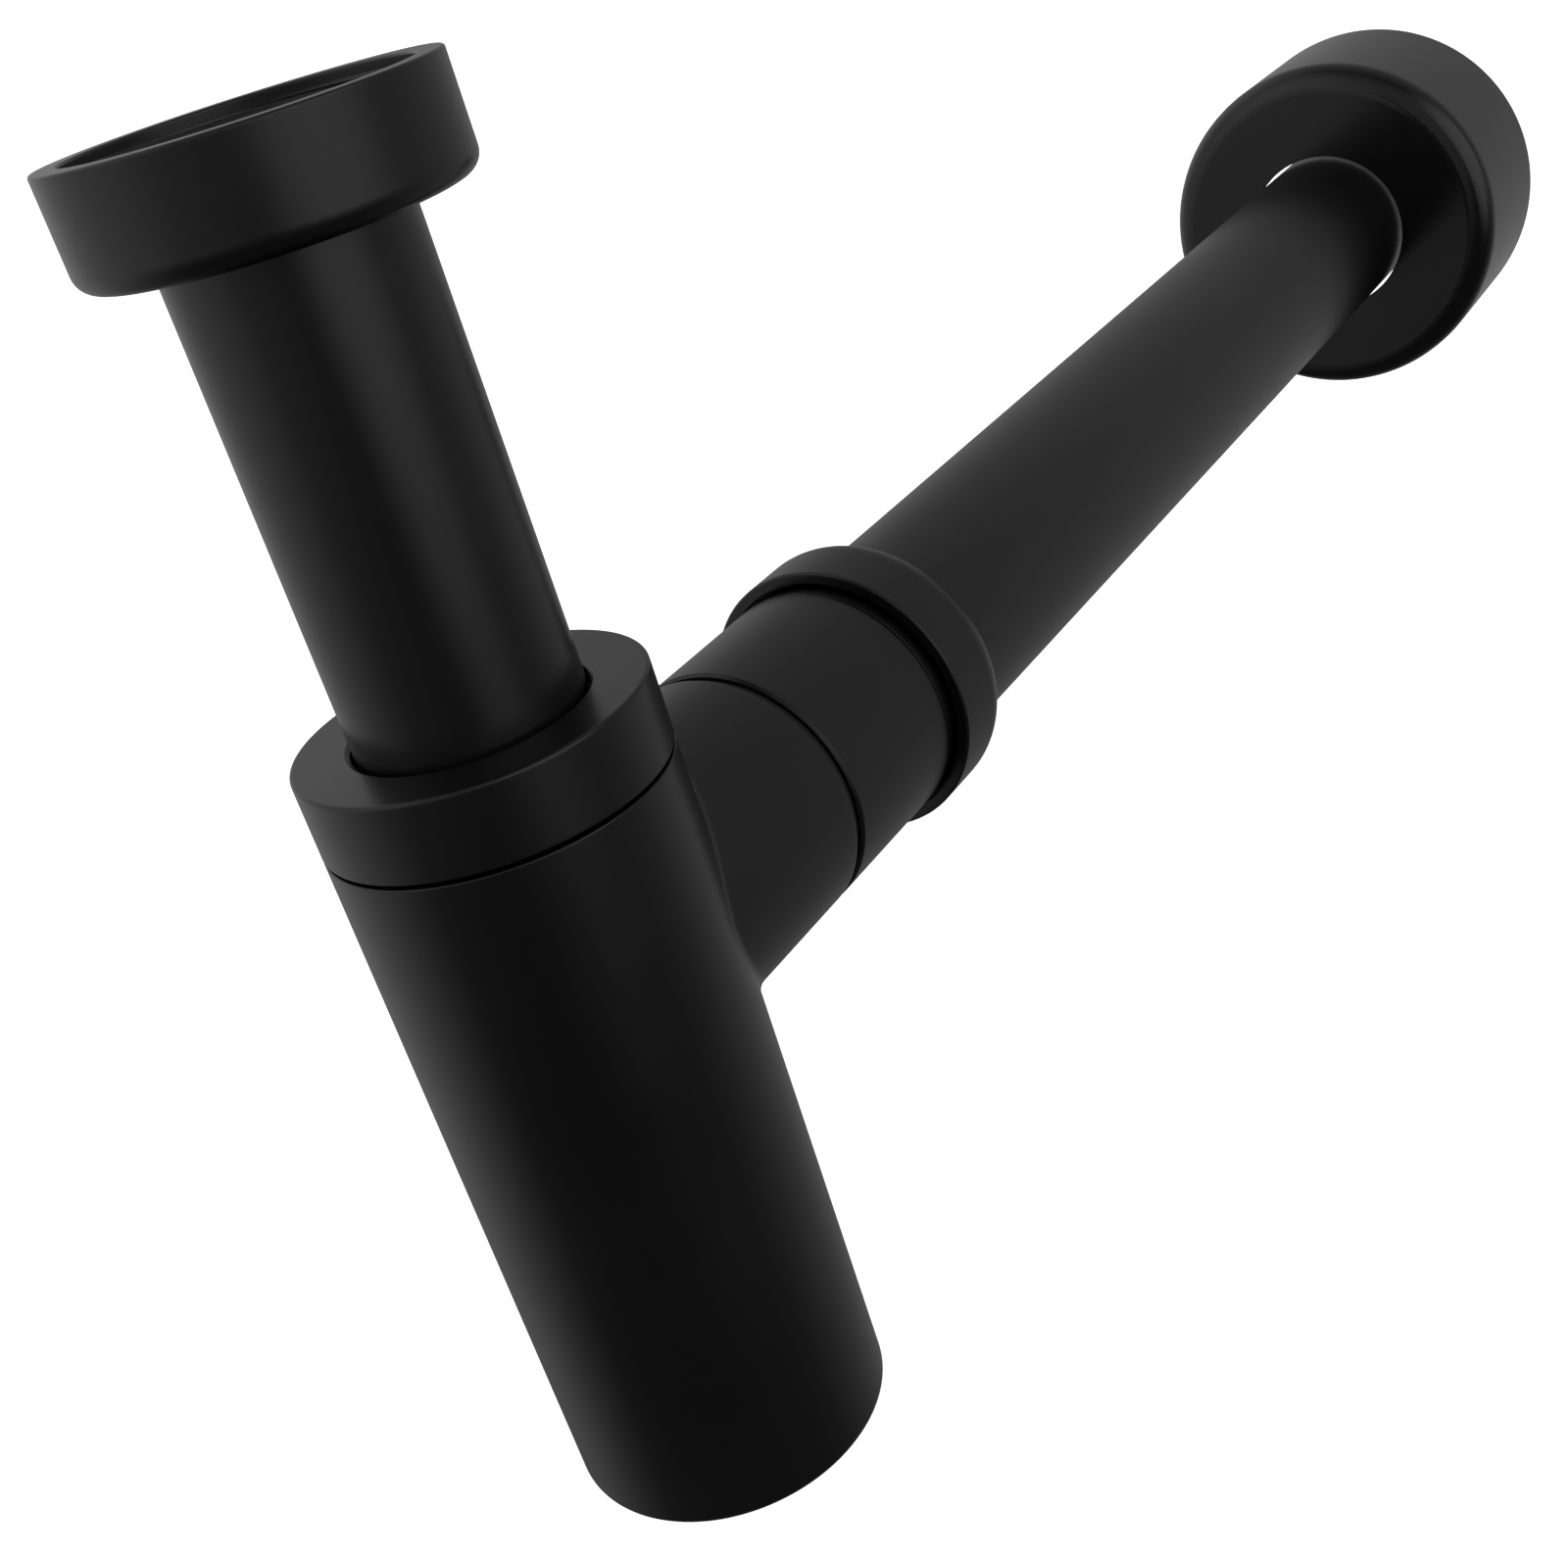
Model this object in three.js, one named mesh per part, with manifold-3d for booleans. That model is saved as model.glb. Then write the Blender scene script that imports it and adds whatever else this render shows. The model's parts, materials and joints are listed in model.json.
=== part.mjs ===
// Bottle trap for a washbasin, with a horizontal outlet tube and a wall flange.
//
// Millimetres, +Z up. The origin is the centre of the inlet sealing face, on the inlet
// axis. +Z points up to the basin waste and +Y runs along the outlet to the wall.
//
// Every turned piece is a profile of [radius, position along its own axis], revolved.
// Threads are plain cylinders with clearance between the two halves.

import * as THREE from 'three';
import { mergeVertices } from 'three/addons/utils/BufferGeometryUtils.js';
import Module from 'manifold-3d';

const wasm = await Module();
wasm.setup();

// ---------------------------------------------------------------- driving dimensions

const SEGMENTS = 40; // facets round every turned piece but the flange
const FLANGE_SEGMENTS = 48;
const GAP = 0.3; // clearance between pieces that touch or turn on each other
const GLIDE = 0.15; // clearance of a rubber ring round the tube that it grips

// Inlet tube and its union nut, along Z
const INLET_TUBE_R = 16; // 32 mm tube
const INLET_TUBE_WALL = 1.1;
const INLET_COLLAR_R = 18.9;
const INLET_COLLAR_T = 2;
const WASHER_T = 2.6;
const GLIDE_RING_T = 1;
const INLET_NUT_R = 24.75;
const INLET_NUT_RIM = 5; // height of the nut's rim above the sealing face
const INLET_NUT_H = 14.2;
const INLET_NUT_SHOULDER_T = 2.9;
const INLET_NUT_BORE_R = 19.5; // crests of a G 1 1/4 thread
const INLET_NUT_MOUTH_R = 21.3;
const INLET_NUT_MOUTH_DEPTH = 1.4;
const INLET_NUT_ROUND = 2.6;

// Bottle, neck and cap, along Z
const CAP_TOP = -73.5;
const CAP_H = 11.3;
const CAP_TOP_T = 2.6;
const CAP_HOLE_R = 16.5;
const SEAM = 0.6; // open groove between the cap and the bottle
const BOTTLE_R = 24.75;
const BOTTLE_WALL = 2;
const BOTTLE_BOTTOM = -197;
const BOTTLE_FLOOR_T = 2.5;
const BOTTLE_ROUND = 1.6;
const NECK_THREAD_R = 20.05;
const NECK_BORE_R = 16.8;
const NECK_SEAT_R = 18.8;
const NECK_SEAT_DEPTH = 3.7;
const NECK_SOCKET_DEPTH = 6;
const CAP_SEAL_HEAD_R = 19.6;
const CAP_SEAL_HEAD_T = 2.3;
const CAP_SEAL_NOSE = 2.9;
const WATER_SEAL = 50; // depth of the tube's end below the outlet's lowest level

// Outlet, along Y
const OUTLET_Z = -114;
const BRANCH_R = 21.75;
const BRANCH_END = 45;
const BRANCH_BORE_R = 17.5;
const BRANCH_SOCKET_R = 19.95;
const BRANCH_SOCKET_DEPTH = 11.4;
const GROOVE = 1.8; // shows the gasket between the branch and the sleeve
const GASKET_T = 1.5;
const GASKET_R = 20.9;
const SLEEVE_SHOULDER = 75.4;
const SLEEVE_BEVEL = 0.4;
const SLEEVE_STOP = 52; // the outlet tube can be pushed in as far as this
const SPIGOT_R = 19.55;
const SPIGOT_LENGTH = 11.2;
const SLEEVE_THREAD_R = 20.9;
const SLEEVE_END = 87;
const SLEEVE_SEAT_R = 20.15;
const SLEEVE_SEAT_DEPTH = 2.5;
const OUTLET_SEAL_HEAD_R = 20.75;
const OUTLET_SEAL_HEAD_T = 2;
const OUTLET_SEAL_NOSE = 1.2;
const OUTLET_NUT_R = 24;
const OUTLET_NUT_NEAR = 78;
const OUTLET_NUT_FAR = 93.2;
const OUTLET_NUT_WALL = 2.3;
const OUTLET_NUT_BORE_R = 21.25;
const OUTLET_NUT_MOUTH_R = 22;
const OUTLET_NUT_MOUTH_DEPTH = 1.2;
const OUTLET_NUT_ROUND = 6;
const OUTLET_TUBE_R = 19; // 38 mm tube
const OUTLET_TUBE_WALL = 1.2;
const OUTLET_TUBE_START = 61;
const OUTLET_TUBE_LENGTH = 300;
const FLANGE_R = 41;
const FLANGE_FRONT = 333;
const FLANGE_DEPTH = 41;
const FLANGE_WALL = 1.2;
const FLANGE_HOLE_R = 19.6;
const FLANGE_ROUND = 5.5;

// ------------------------------------------------------------------ worked-out places

const INLET_TUBE_BORE_R = INLET_TUBE_R - INLET_TUBE_WALL;
const COLLAR_TOP = -WASHER_T - 0.2;
const COLLAR_BOTTOM = COLLAR_TOP - INLET_COLLAR_T;
const GLIDE_RING_TOP = COLLAR_BOTTOM - GAP;
const INLET_NUT_BOTTOM = INLET_NUT_RIM - INLET_NUT_H;
const INLET_NUT_SEAT = INLET_NUT_BOTTOM + INLET_NUT_SHOULDER_T;

const CAP_BOTTOM = CAP_TOP - CAP_H;
const CAP_CEILING = CAP_TOP - CAP_TOP_T;
const CAP_BORE_R = NECK_THREAD_R + 0.4;
const CAP_GLIDE_TOP = CAP_CEILING - GAP;
const CAP_GLIDE_BOTTOM = CAP_GLIDE_TOP - GLIDE_RING_T;
const CAP_SEAL_TOP = CAP_GLIDE_BOTTOM - GAP;
const CAP_SEAL_STEP = CAP_SEAL_TOP - CAP_SEAL_HEAD_T;
const NECK_TOP = CAP_SEAL_STEP - GAP;
const BOTTLE_TOP = CAP_BOTTOM - SEAM;
const BOTTLE_BORE_R = BOTTLE_R - BOTTLE_WALL;
const BOTTLE_FLOOR = BOTTLE_BOTTOM + BOTTLE_FLOOR_T;
const INLET_TUBE_END = OUTLET_Z - BRANCH_BORE_R - WATER_SEAL;

const SLEEVE_START = BRANCH_END + GROOVE;
const SLEEVE_BORE_R = OUTLET_TUBE_R + 0.35;
const OUTLET_TUBE_BORE_R = OUTLET_TUBE_R - OUTLET_TUBE_WALL;
const OUTLET_TUBE_END = OUTLET_TUBE_START + OUTLET_TUBE_LENGTH;
const OUTLET_SEAL_STEP = SLEEVE_END + 0.25;
const OUTLET_SEAL_TOP = OUTLET_SEAL_STEP + OUTLET_SEAL_HEAD_T;
const OUTLET_GLIDE_START = OUTLET_SEAL_TOP + GAP;
const OUTLET_GLIDE_END = OUTLET_GLIDE_START + GLIDE_RING_T;
const OUTLET_NUT_SEAT = OUTLET_NUT_FAR - OUTLET_NUT_WALL;
const FLANGE_BACK = FLANGE_FRONT + FLANGE_DEPTH;

// -------------------------------------------------------------------------- materials

const satinBlack = new THREE.MeshStandardMaterial({ color: 0x17181a, roughness: 0.42, metalness: 0.3 });
const glossBlack = new THREE.MeshStandardMaterial({ color: 0x141517, roughness: 0.24, metalness: 0.3 });
const rubber = new THREE.MeshStandardMaterial({ color: 0x0d0d0d, roughness: 0.85, metalness: 0 });
const nylon = new THREE.MeshStandardMaterial({ color: 0x2a2a2c, roughness: 0.55, metalness: 0 });

// ---------------------------------------------------------------------------- helpers

// Points of an arc in a profile, from one angle to another, in degrees.
function arc(centreR, centreY, radius, from, to, steps = 3) {
  return Array.from({ length: steps + 1 }, (_, i) => {
    const angle = THREE.MathUtils.degToRad(from + ((to - from) * i) / steps);
    return [centreR + radius * Math.cos(angle), centreY + radius * Math.sin(angle)];
  });
}

// A closed profile, listed with the solid on its left, revolved about local Y.
function turned(profile, segments = SEGMENTS) {
  const points = profile.map(([r, y]) => new THREE.Vector2(r, y));
  if (profile[0][0] > 0) {
    points.push(points[0].clone());
  }
  return new THREE.LatheGeometry(points, segments);
}

// A plain ring between two radii and two positions along the axis.
function ring(innerR, outerR, from, to) {
  return turned([[outerR, from], [outerR, to], [innerR, to], [innerR, from]]);
}

function solidCylinder(radius, from, to, segments = SEGMENTS) {
  return turned([[0, from], [radius, from], [radius, to], [0, to]], segments);
}

function toManifold(geometry) {
  const bare = geometry.clone();
  bare.deleteAttribute('normal');
  bare.deleteAttribute('uv');
  const merged = mergeVertices(bare);
  const corners = [];
  const index = merged.index.array;
  for (let i = 0; i < index.length; i += 3) {
    const [a, b, c] = index.slice(i, i + 3);
    if (a !== b && b !== c && c !== a) {
      corners.push(a, b, c);
    }
  }
  const mesh = new wasm.Mesh({
    numProp: 3,
    vertProperties: new Float32Array(merged.attributes.position.array),
    triVerts: new Uint32Array(corners),
  });
  return new wasm.Manifold(mesh);
}

function toGeometry(manifold) {
  const mesh = manifold.getMesh();
  const geometry = new THREE.BufferGeometry();
  geometry.setAttribute('position', new THREE.BufferAttribute(mesh.vertProperties, 3));
  geometry.setIndex(new THREE.BufferAttribute(mesh.triVerts, 1));
  geometry.computeVertexNormals();
  return geometry;
}

// Turns a shape revolved about local Y so that it stands along Z.
function upright(geometry) {
  return geometry.rotateX(Math.PI / 2);
}

// Places a shape revolved about local Y on the outlet axis.
function alongOutlet(geometry) {
  return geometry.translate(0, 0, OUTLET_Z);
}

function named(name, geometry, material) {
  const mesh = new THREE.Mesh(geometry, material);
  mesh.name = name;
  return mesh;
}

// ----------------------------------------------------------------------- inlet pieces

function inletNut() {
  const round = INLET_NUT_ROUND;
  const edge = 0.4;
  return turned([
    [INLET_TUBE_R + 0.4, INLET_NUT_BOTTOM],
    ...arc(INLET_NUT_R - round, INLET_NUT_BOTTOM + round, round, -90, 0),
    [INLET_NUT_R, INLET_NUT_RIM - edge],
    [INLET_NUT_R - edge, INLET_NUT_RIM],
    [INLET_NUT_MOUTH_R + edge, INLET_NUT_RIM],
    [INLET_NUT_MOUTH_R, INLET_NUT_RIM - edge],
    [INLET_NUT_MOUTH_R, INLET_NUT_RIM - INLET_NUT_MOUTH_DEPTH],
    [INLET_NUT_BORE_R, INLET_NUT_RIM - INLET_NUT_MOUTH_DEPTH],
    [INLET_NUT_BORE_R, INLET_NUT_SEAT],
    [INLET_TUBE_R + 0.4, INLET_NUT_SEAT],
  ]);
}

function inletWasher() {
  return ring(INLET_TUBE_BORE_R + 0.1, INLET_COLLAR_R, -WASHER_T, 0);
}

function inletSlipRing() {
  return ring(INLET_TUBE_R + 0.25, INLET_COLLAR_R + 0.2, GLIDE_RING_TOP - GLIDE_RING_T, GLIDE_RING_TOP);
}

// The collar under the washer and the tube that dips into the bottle's water.
function inletTube() {
  return turned([
    [INLET_TUBE_R, INLET_TUBE_END],
    [INLET_TUBE_R, COLLAR_BOTTOM],
    [INLET_COLLAR_R, COLLAR_BOTTOM],
    [INLET_COLLAR_R, COLLAR_TOP],
    [INLET_TUBE_BORE_R, COLLAR_TOP],
    [INLET_TUBE_BORE_R, INLET_TUBE_END],
  ]);
}

// ------------------------------------------------------------- cap, neck and bottle

function capRing() {
  const edge = 0.35;
  return turned([
    [CAP_BORE_R, CAP_BOTTOM],
    [BOTTLE_R - edge, CAP_BOTTOM],
    [BOTTLE_R, CAP_BOTTOM + edge],
    [BOTTLE_R, CAP_TOP - edge],
    [BOTTLE_R - edge, CAP_TOP],
    [CAP_HOLE_R + edge, CAP_TOP],
    [CAP_HOLE_R, CAP_TOP - edge],
    [CAP_HOLE_R, CAP_CEILING],
    [CAP_BORE_R, CAP_CEILING],
  ]);
}

function capFrictionRing() {
  return ring(INLET_TUBE_R + 0.25, CAP_BORE_R - 0.35, CAP_GLIDE_BOTTOM, CAP_GLIDE_TOP);
}

// A rubber ring with a flat head and a tapered nose that sits in the neck.
function capSeal() {
  const seatTaper = (NECK_SEAT_R - NECK_BORE_R) / NECK_SEAT_DEPTH;
  const noseTopR = NECK_SEAT_R - GAP;
  const noseTipR = noseTopR - CAP_SEAL_NOSE * seatTaper;
  return turned([
    [INLET_TUBE_R + GLIDE, NECK_TOP - CAP_SEAL_NOSE],
    [noseTipR, NECK_TOP - CAP_SEAL_NOSE],
    [noseTopR, CAP_SEAL_STEP],
    [CAP_SEAL_HEAD_R, CAP_SEAL_STEP],
    [CAP_SEAL_HEAD_R, CAP_SEAL_TOP],
    [INLET_TUBE_R + GLIDE, CAP_SEAL_TOP],
  ]);
}

// The threaded ring brazed into the bottle's mouth.
function neckRing() {
  return turned([
    [NECK_BORE_R, BOTTLE_TOP - NECK_SOCKET_DEPTH],
    [BOTTLE_BORE_R - GAP, BOTTLE_TOP - NECK_SOCKET_DEPTH],
    [BOTTLE_BORE_R - GAP, BOTTLE_TOP],
    [NECK_THREAD_R, BOTTLE_TOP],
    [NECK_THREAD_R, NECK_TOP],
    [NECK_SEAT_R, NECK_TOP],
    [NECK_BORE_R, NECK_TOP - NECK_SEAT_DEPTH],
  ]);
}

function bottleShell() {
  const edge = 0.35;
  const inner = BOTTLE_ROUND;
  const cup = turned([
    [0, BOTTLE_BOTTOM],
    ...arc(BOTTLE_R - BOTTLE_ROUND, BOTTLE_BOTTOM + BOTTLE_ROUND, BOTTLE_ROUND, -90, 0),
    [BOTTLE_R, BOTTLE_TOP - edge],
    [BOTTLE_R - edge, BOTTLE_TOP],
    [BOTTLE_BORE_R, BOTTLE_TOP],
    ...arc(BOTTLE_BORE_R - inner, BOTTLE_FLOOR + inner, inner, 0, -90, 2),
    [0, BOTTLE_FLOOR],
  ]);
  const hole = alongOutlet(solidCylinder(BRANCH_BORE_R, 0, BOTTLE_R + 5));
  return toGeometry(toManifold(upright(cup)).subtract(toManifold(hole)));
}

// The outlet branch brazed to the bottle, saddle-cut to meet its wall.
function branchStub() {
  const edge = 0.35;
  const socketFloor = BRANCH_END - BRANCH_SOCKET_DEPTH;
  const tube = turned([
    [BRANCH_R, 5],
    [BRANCH_R, BRANCH_END - edge],
    [BRANCH_R - edge, BRANCH_END],
    [BRANCH_SOCKET_R, BRANCH_END],
    [BRANCH_SOCKET_R, socketFloor],
    [BRANCH_BORE_R, socketFloor],
    [BRANCH_BORE_R, 5],
  ]);
  const saddle = upright(solidCylinder(BOTTLE_R + GAP, BOTTLE_BOTTOM, BOTTLE_TOP));
  return toGeometry(toManifold(alongOutlet(tube)).subtract(toManifold(saddle)));
}

// ---------------------------------------------------------------------- outlet pieces

function branchGasket() {
  const start = BRANCH_END + (GROOVE - GASKET_T) / 2;
  return ring(SPIGOT_R + 0.35, GASKET_R, start, start + GASKET_T);
}

// A spigot for the branch, a smooth barrel, and a threaded mouth for the outlet nut.
function outletSleeve() {
  return turned([
    [BRANCH_BORE_R, SLEEVE_START - SPIGOT_LENGTH],
    [SPIGOT_R, SLEEVE_START - SPIGOT_LENGTH],
    [SPIGOT_R, SLEEVE_START],
    [BRANCH_R - SLEEVE_BEVEL, SLEEVE_START],
    [BRANCH_R, SLEEVE_START + SLEEVE_BEVEL],
    [BRANCH_R, SLEEVE_SHOULDER - SLEEVE_BEVEL],
    [BRANCH_R - SLEEVE_BEVEL, SLEEVE_SHOULDER],
    [SLEEVE_THREAD_R, SLEEVE_SHOULDER],
    [SLEEVE_THREAD_R, SLEEVE_END],
    [SLEEVE_SEAT_R, SLEEVE_END],
    [SLEEVE_BORE_R, SLEEVE_END - SLEEVE_SEAT_DEPTH],
    [SLEEVE_BORE_R, SLEEVE_STOP],
    [BRANCH_BORE_R, SLEEVE_STOP],
  ]);
}

function outletSeal() {
  const seatTaper = (SLEEVE_SEAT_R - SLEEVE_BORE_R) / SLEEVE_SEAT_DEPTH;
  const noseTopR = SLEEVE_SEAT_R - 0.2;
  const noseTipR = noseTopR - OUTLET_SEAL_NOSE * seatTaper;
  return turned([
    [OUTLET_TUBE_R + GLIDE, SLEEVE_END - OUTLET_SEAL_NOSE],
    [noseTipR, SLEEVE_END - OUTLET_SEAL_NOSE],
    [noseTopR, OUTLET_SEAL_STEP],
    [OUTLET_SEAL_HEAD_R, OUTLET_SEAL_STEP],
    [OUTLET_SEAL_HEAD_R, OUTLET_SEAL_TOP],
    [OUTLET_TUBE_R + GLIDE, OUTLET_SEAL_TOP],
  ]);
}

function outletFrictionRing() {
  return ring(OUTLET_TUBE_R + 0.25, OUTLET_NUT_BORE_R - 0.3, OUTLET_GLIDE_START, OUTLET_GLIDE_END);
}

// Its far end is domed down to the tube's hole.
function outletNut() {
  const edge = 0.35;
  const holeR = OUTLET_TUBE_R + 0.4;
  const domeR = OUTLET_NUT_R - OUTLET_NUT_ROUND;
  const domeEnd = Math.acos((holeR - domeR) / OUTLET_NUT_ROUND);
  const domeY = OUTLET_NUT_FAR - OUTLET_NUT_ROUND * Math.sin(domeEnd);
  return turned([
    [OUTLET_NUT_MOUTH_R, OUTLET_NUT_NEAR],
    [OUTLET_NUT_R - edge, OUTLET_NUT_NEAR],
    [OUTLET_NUT_R, OUTLET_NUT_NEAR + edge],
    ...arc(domeR, domeY, OUTLET_NUT_ROUND, 0, THREE.MathUtils.radToDeg(domeEnd), 4),
    [holeR, OUTLET_NUT_SEAT],
    [OUTLET_NUT_BORE_R, OUTLET_NUT_SEAT],
    [OUTLET_NUT_BORE_R, OUTLET_NUT_NEAR + OUTLET_NUT_MOUTH_DEPTH],
    [OUTLET_NUT_MOUTH_R, OUTLET_NUT_NEAR + OUTLET_NUT_MOUTH_DEPTH],
  ]);
}

function outletTube() {
  return ring(OUTLET_TUBE_BORE_R, OUTLET_TUBE_R, OUTLET_TUBE_START, OUTLET_TUBE_END);
}

// A deep cup, open towards the wall, with a hole for the outlet tube.
function wallFlange() {
  const outer = FLANGE_ROUND;
  const inner = FLANGE_ROUND - FLANGE_WALL;
  const innerR = FLANGE_R - FLANGE_WALL;
  const innerFront = FLANGE_FRONT + FLANGE_WALL;
  return turned([
    [FLANGE_HOLE_R, FLANGE_FRONT],
    ...arc(FLANGE_R - outer, FLANGE_FRONT + outer, outer, -90, 0, 4),
    [FLANGE_R, FLANGE_BACK],
    [innerR, FLANGE_BACK],
    ...arc(innerR - inner, innerFront + inner, inner, 0, -90, 4),
    [FLANGE_HOLE_R, innerFront],
  ], FLANGE_SEGMENTS);
}

// --------------------------------------------------------------------------- assembly

const bottleTrap = new THREE.Group();

const inletAxis = new THREE.Group();
inletAxis.rotation.x = Math.PI / 2;
inletAxis.add(
  named('inlet_nut', inletNut(), satinBlack),
  named('inlet_washer', inletWasher(), rubber),
  named('inlet_slip_ring', inletSlipRing(), nylon),
  named('inlet_tube', inletTube(), satinBlack),
  named('cap_ring', capRing(), satinBlack),
  named('cap_friction_ring', capFrictionRing(), nylon),
  named('cap_seal', capSeal(), rubber),
  named('neck_ring', neckRing(), satinBlack),
);

const outletAxis = new THREE.Group();
outletAxis.position.z = OUTLET_Z;
outletAxis.add(
  named('branch_gasket', branchGasket(), rubber),
  named('outlet_sleeve', outletSleeve(), satinBlack),
  named('outlet_seal', outletSeal(), rubber),
  named('outlet_friction_ring', outletFrictionRing(), nylon),
  named('outlet_nut', outletNut(), satinBlack),
  named('outlet_tube', outletTube(), satinBlack),
  named('wall_flange', wallFlange(), glossBlack),
);

bottleTrap.add(
  inletAxis,
  outletAxis,
  named('bottle_shell', bottleShell(), satinBlack),
  named('branch_stub', branchStub(), satinBlack),
);

export default bottleTrap;
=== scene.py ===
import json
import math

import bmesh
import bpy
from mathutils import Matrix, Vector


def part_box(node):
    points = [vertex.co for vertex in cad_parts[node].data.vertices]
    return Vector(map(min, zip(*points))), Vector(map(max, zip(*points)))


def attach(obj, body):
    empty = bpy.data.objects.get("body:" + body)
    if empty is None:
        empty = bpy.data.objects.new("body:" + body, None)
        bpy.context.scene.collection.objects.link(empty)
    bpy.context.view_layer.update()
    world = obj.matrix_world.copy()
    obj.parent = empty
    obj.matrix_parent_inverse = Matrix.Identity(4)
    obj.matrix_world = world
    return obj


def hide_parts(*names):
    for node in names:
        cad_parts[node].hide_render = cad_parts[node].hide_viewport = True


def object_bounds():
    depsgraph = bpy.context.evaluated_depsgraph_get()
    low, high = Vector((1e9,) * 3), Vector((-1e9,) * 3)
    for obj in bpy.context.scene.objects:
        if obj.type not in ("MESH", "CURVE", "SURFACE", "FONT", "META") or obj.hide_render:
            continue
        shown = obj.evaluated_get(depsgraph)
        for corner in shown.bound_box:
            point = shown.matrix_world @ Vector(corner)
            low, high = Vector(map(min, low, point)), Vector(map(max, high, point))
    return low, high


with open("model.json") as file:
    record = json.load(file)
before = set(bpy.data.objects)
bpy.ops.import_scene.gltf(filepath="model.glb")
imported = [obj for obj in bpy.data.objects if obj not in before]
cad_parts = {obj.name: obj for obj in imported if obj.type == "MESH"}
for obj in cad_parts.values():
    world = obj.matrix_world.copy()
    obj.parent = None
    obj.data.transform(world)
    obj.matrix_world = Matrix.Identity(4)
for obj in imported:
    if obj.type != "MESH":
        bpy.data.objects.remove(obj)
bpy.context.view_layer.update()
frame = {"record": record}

# Bottle trap with a horizontal outlet tube, coated satin black, on a white background.
#
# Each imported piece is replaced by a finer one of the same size: true rounds, cut threads,
# and the bottle and its branch joined by a fillet. Lengths are in millimetres up to the
# point where a mesh is made. The inlet axis is +Z at x = y = 0, the outlet axis is +Y at
# the height of the outlet tube, and every turned piece is an outline of
# (radius, position along its axis) points.

MM = 0.001
X, Y, Z = range(3)

# ------------------------------------------------------------------ sizes of the pieces

SEGMENTS = 192  # columns round a turned piece
ARC_STEP = math.radians(12)  # finest turn of an outline round a corner
HOLD = 0.25  # a loop this far from each corner keeps the flats flat
MICRO = 0.15  # round of an edge that looks sharp

INLET_TUBE_R = 16.0
INLET_TUBE_BORE_R = 14.9
INLET_NUT_MOUTH_R = 21.3
INLET_NUT_MOUTH_DEPTH = 1.4
INLET_NUT_ROUND = 2.6
INLET_NUT_SHOULDER_T = 2.9
INLET_THREAD_CREST_R = 19.5
INLET_THREAD_ROOT_R = 20.95
INLET_THREAD_PITCH = 25.4 / 11  # G 1 1/4
COLLAR_T = 2.0

THREAD_PITCH = 1.5  # every thread but the inlet nut's
THREAD_DEPTH = 0.62
CAP_HOLE_R = 16.5
CAP_TOP_T = 2.6
CAP_THREAD_R = 20.45
NECK_BORE_R = 16.8
NECK_SEAT_R = 18.8
NECK_SEAT_DEPTH = 3.7
NECK_THREAD_R = 20.05
NECK_SOCKET_DEPTH = 6.0
CAP_SEAL_HEAD_T = 2.3

BOTTLE_BORE_R = 22.75
BOTTLE_FLOOR_T = 2.5
BOTTLE_ROUND = 1.6
BRANCH_BORE_R = 17.5
BRANCH_SOCKET_R = 19.95
BRANCH_SOCKET_DEPTH = 11.4
BRANCH_FILLET = 3.0

SLEEVE_SHOULDER = 75.4
SLEEVE_BEVEL = 0.45
SLEEVE_GROOVE_R = 20.95
SLEEVE_LIP_R = 21.45
SLEEVE_LIP = (75.7, 77.3)  # a thin lip between the shoulder and the thread
SLEEVE_STOP = 52.0
SLEEVE_BORE_R = 19.35
SLEEVE_SEAT_R = 20.15
SLEEVE_SEAT_DEPTH = 2.5
SPIGOT_R = 19.55
SPIGOT_LENGTH = 11.2
SLEEVE_THREAD_R = 20.9
SLEEVE_THREAD_START = 79.0
OUTLET_SEAL_HEAD_T = 2.0
OUTLET_NUT_HOLE_R = 19.4
OUTLET_NUT_MOUTH_R = 22.0
OUTLET_NUT_MOUTH_DEPTH = 1.2
OUTLET_NUT_THREAD_R = 21.25
OUTLET_NUT_WALL = 2.3
OUTLET_NUT_DOME = 6.0
OUTLET_TUBE_BORE_R = 17.8
FLANGE_WALL = 1.2
FLANGE_HOLE_R = 19.6
FLANGE_ROUND = 5.5


def span(node, axis):
    """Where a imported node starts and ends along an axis, in millimetres."""
    low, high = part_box(node)
    return low[axis] / MM, high[axis] / MM


def radius(node):
    """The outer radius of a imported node, in millimetres. Every node is centred on x = 0."""
    return span(node, X)[1]


OUTLET_Z = sum(span("outlet_tube", Z)) / 2

# --------------------------------------------------------------------- outlines


def rounded(corner, before, after, size):
    """The points of an arc that rounds a corner of an outline."""
    to_before = (Vector(before) - Vector(corner)).normalized()
    to_after = (Vector(after) - Vector(corner)).normalized()
    half = to_before.angle(to_after) / 2
    centre = Vector(corner) + (to_before + to_after).normalized() * (size / math.sin(half))
    start = Vector(corner) + to_before * (size / math.tan(half)) - centre
    turn = start.angle_signed(Vector(corner) + to_after * (size / math.tan(half)) - centre)
    steps = max(2, math.ceil(abs(turn) / ARC_STEP))
    return [centre + Matrix.Rotation(-turn * i / steps, 2) @ start for i in range(steps + 1)]


def held(points, closed):
    """The same outline with a point near both ends of each long stretch."""
    out = []
    for i, point in enumerate(points):
        out.append(point)
        if i == len(points) - 1 and not closed:
            break
        step = points[(i + 1) % len(points)] - point
        if step.length > 4 * HOLD:
            out += [point + step.normalized() * HOLD, point + step * (1 - HOLD / step.length)]
    return out


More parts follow.
